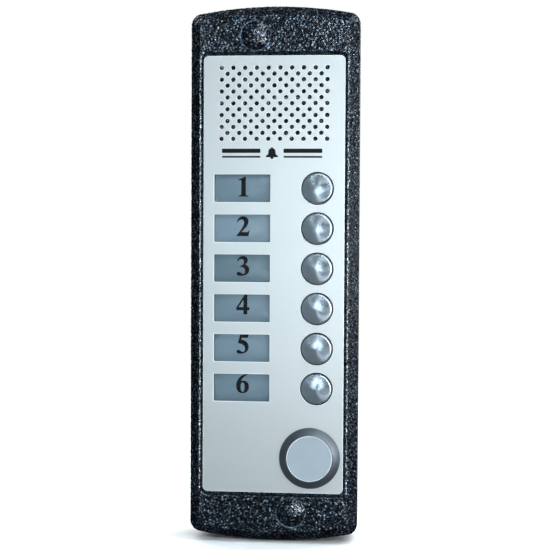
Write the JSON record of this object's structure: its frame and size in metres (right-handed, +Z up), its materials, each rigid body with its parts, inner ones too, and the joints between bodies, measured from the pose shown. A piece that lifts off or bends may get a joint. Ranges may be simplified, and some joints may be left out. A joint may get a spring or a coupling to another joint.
{
  "type": "door intercom panel",
  "caption": "Slim wall-mounted door entry panel: speaker grille, numbered name windows beside sprung call buttons, and a round key reader in a hammered metal housing.",
  "frame": {"origin": "centre of the wall face, on the back of the wall plate", "axes": "+Z up along the panel, +Y into the wall, +X to the right of someone who faces the panel; the front faces -Y"},
  "size_m": [0.068, 0.0261, 0.2146],
  "materials": {
    "hammered_paint": "dark blue-black hammered paint",
    "satin_silver": "satin",
    "turned_steel": "fine turned",
    "ring_steel": "dark bright metal",
    "reader_plastic": "matt",
    "clear_acrylic": "clear gloss",
    "label_paper": "printed card",
    "white_plastic": "moulded",
    "black_plastic": "moulded",
    "black_rubber": "matt",
    "zinc_steel": "zinc plated",
    "spring_steel": "drawn wire",
    "polyester_film": "clear film",
    "cone_paper": "pressed paper",
    "dark_ferrite": "sintered",
    "board_green": "solder mask",
    "copper_wire": "enamelled winding",
    "terminal_green": "moulded"
  },
  "bodies": {
    "panel": {"housing": "hammered_paint", "wall_plate": "zinc_steel", "wall_gasket": "black_rubber", "cable_grommet": "black_rubber", "top_cap": "hammered_paint", "bottom_cap": "hammered_paint", "top_fixing_screw": "zinc_steel", "bottom_fixing_screw": "zinc_steel", "front_plate": "satin_silver", "plate_gasket": "black_rubber", "plate_screw_1": "zinc_steel", "plate_screw_2": "zinc_steel", "plate_screw_3": "zinc_steel", "plate_screw_4": "zinc_steel", "name_window_1": "clear_acrylic", "name_window_2": "clear_acrylic", "name_window_3": "clear_acrylic", "name_window_4": "clear_acrylic", "name_window_5": "clear_acrylic", "name_window_6": "clear_acrylic", "name_card_1": "label_paper", "name_card_2": "label_paper", "name_card_3": "label_paper", "name_card_4": "label_paper", "name_card_5": "label_paper", "name_card_6": "label_paper", "label_tray": "white_plastic", "button_spring_1": "spring_steel", "button_spring_2": "spring_steel", "button_spring_3": "spring_steel", "button_spring_4": "spring_steel", "button_spring_5": "spring_steel", "button_spring_6": "spring_steel", "button_switch_1": "black_plastic", "button_switch_2": "black_plastic", "button_switch_3": "black_plastic", "button_switch_4": "black_plastic", "button_switch_5": "black_plastic", "button_switch_6": "black_plastic", "reader_ring": "ring_steel", "reader_disc": "reader_plastic", "reader_coil": "copper_wire", "reader_nut": "zinc_steel", "splash_film": "polyester_film", "speaker_gasket": "black_rubber", "speaker_basket": "zinc_steel", "speaker_cone": "cone_paper", "speaker_magnet": "dark_ferrite", "microphone_boot": "black_rubber", "microphone_capsule": "zinc_steel", "circuit_board": "board_green", "controller_chip": "black_plastic", "terminal_block": "terminal_green"},
    "call_button_1": {"call_button_1": "turned_steel"},
    "call_button_2": {"call_button_2": "turned_steel"},
    "call_button_3": {"call_button_3": "turned_steel"},
    "call_button_4": {"call_button_4": "turned_steel"},
    "call_button_5": {"call_button_5": "turned_steel"},
    "call_button_6": {"call_button_6": "turned_steel"}
  },
  "joints": [
    {"name": "call_button_1_press", "type": "slide", "parent": "panel", "child": "call_button_1", "axis": [0, 1, 0], "range_m": [0, 0.0012], "stiffness_N_per_m": 700, "springref_m": -0.0008, "deforming": ["button_spring_1"]},
    {"name": "call_button_2_press", "type": "slide", "parent": "panel", "child": "call_button_2", "axis": [0, 1, 0], "range_m": [0, 0.0012], "stiffness_N_per_m": 700, "springref_m": -0.0008, "deforming": ["button_spring_2"]},
    {"name": "call_button_3_press", "type": "slide", "parent": "panel", "child": "call_button_3", "axis": [0, 1, 0], "range_m": [0, 0.0012], "stiffness_N_per_m": 700, "springref_m": -0.0008, "deforming": ["button_spring_3"]},
    {"name": "call_button_4_press", "type": "slide", "parent": "panel", "child": "call_button_4", "axis": [0, 1, 0], "range_m": [0, 0.0012], "stiffness_N_per_m": 700, "springref_m": -0.0008, "deforming": ["button_spring_4"]},
    {"name": "call_button_5_press", "type": "slide", "parent": "panel", "child": "call_button_5", "axis": [0, 1, 0], "range_m": [0, 0.0012], "stiffness_N_per_m": 700, "springref_m": -0.0008, "deforming": ["button_spring_5"]},
    {"name": "call_button_6_press", "type": "slide", "parent": "panel", "child": "call_button_6", "axis": [0, 1, 0], "range_m": [0, 0.0012], "stiffness_N_per_m": 700, "springref_m": -0.0008, "deforming": ["button_spring_6"]}
  ]
}
